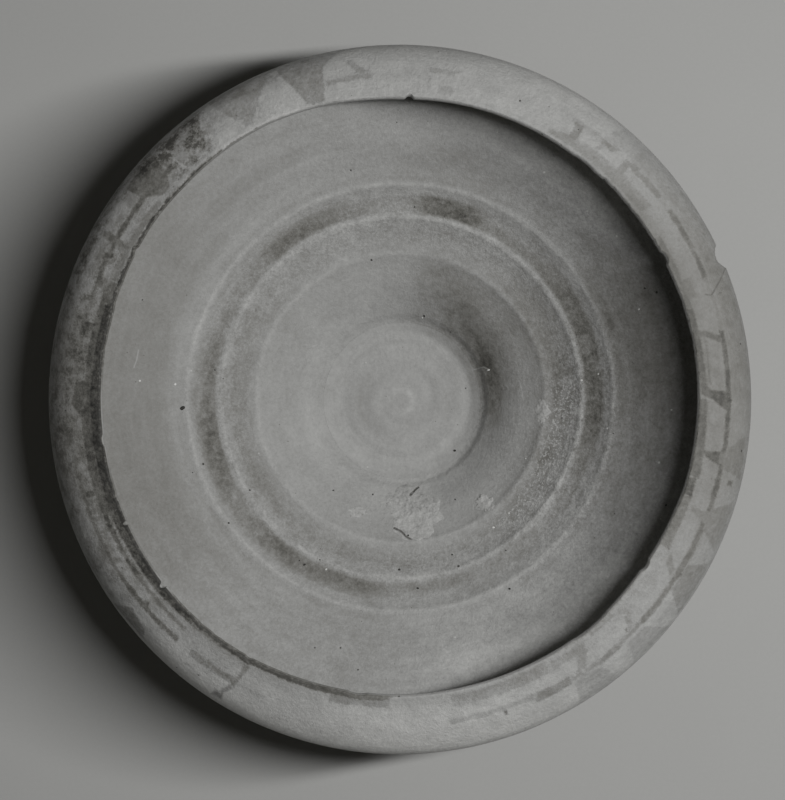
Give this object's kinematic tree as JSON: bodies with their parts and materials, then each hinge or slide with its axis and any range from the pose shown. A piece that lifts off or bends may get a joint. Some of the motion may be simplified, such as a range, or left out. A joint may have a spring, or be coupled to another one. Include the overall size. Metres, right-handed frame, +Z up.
{
  "type": "pottery bowl",
  "caption": "Wide shallow pottery bowl with an inturned painted shoulder and thin lip, a stepped well and throwing ridges inside, on a low hollow ring foot.",
  "frame": {"origin": "centre of the foot ring's underside, on the bowl's axis", "axes": "+Z up along the bowl's axis, out of the mouth; +X is the picture's right and +Y its top, and the chip in the keel lies 24 degrees from +X towards +Y"},
  "size_m": [0.3, 0.3, 0.102],
  "materials": {
    "floor_clay": "matt fired clay with throwing rings, pits and lime specks",
    "wall_clay": "matt fired clay, stained between the throwing ridges, with lime crust",
    "painted_clay": "matt slip with a worn, hand-painted dark band of hanging triangles",
    "foot_clay": "bare rough fired clay"
  },
  "bodies": {
    "root": {"base_disc": "floor_clay", "bowl_wall": "wall_clay", "shoulder_rim": "painted_clay", "foot_ring": "foot_clay"}
  },
  "joints": []
}
